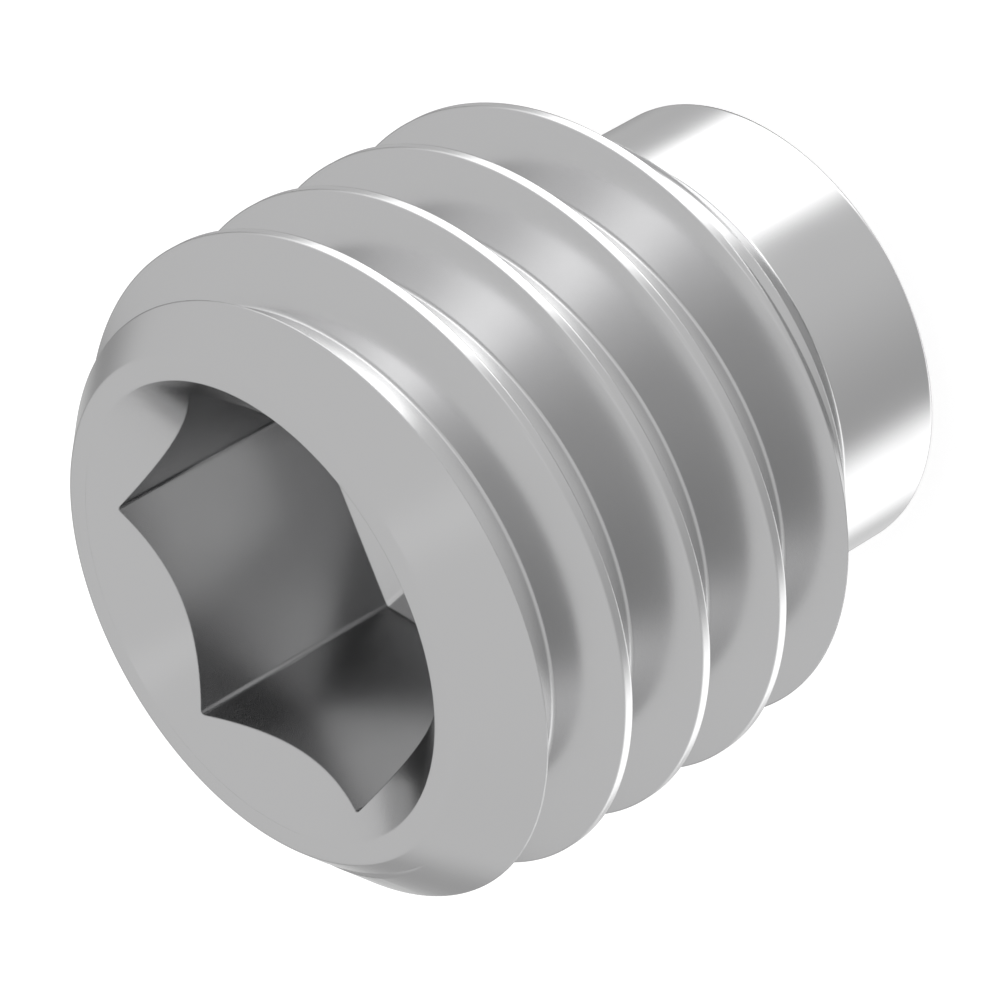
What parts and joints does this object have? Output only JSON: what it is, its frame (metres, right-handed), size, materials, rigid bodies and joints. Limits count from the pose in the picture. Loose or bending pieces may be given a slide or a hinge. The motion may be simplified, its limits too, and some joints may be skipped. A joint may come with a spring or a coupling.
{
  "type": "dog point set screw",
  "caption": "Headless threaded set screw with a hexagon socket in one end and a plain cylindrical dog point on the other, for locking a collar or hub on a shaft.",
  "frame": {"origin": "centre of the flat tip of the dog point, on the screw's axis", "axes": "+Z along the axis from the tip of the dog point to the socket end; +X through a corner of the hexagon socket; the screw stands on its tip with the socket up"},
  "size_m": [0.0098, 0.0098, 0.0099],
  "materials": {
    "steel": "smooth bright stainless steel"
  },
  "bodies": {
    "root": {"set_screw": "steel"}
  },
  "joints": []
}
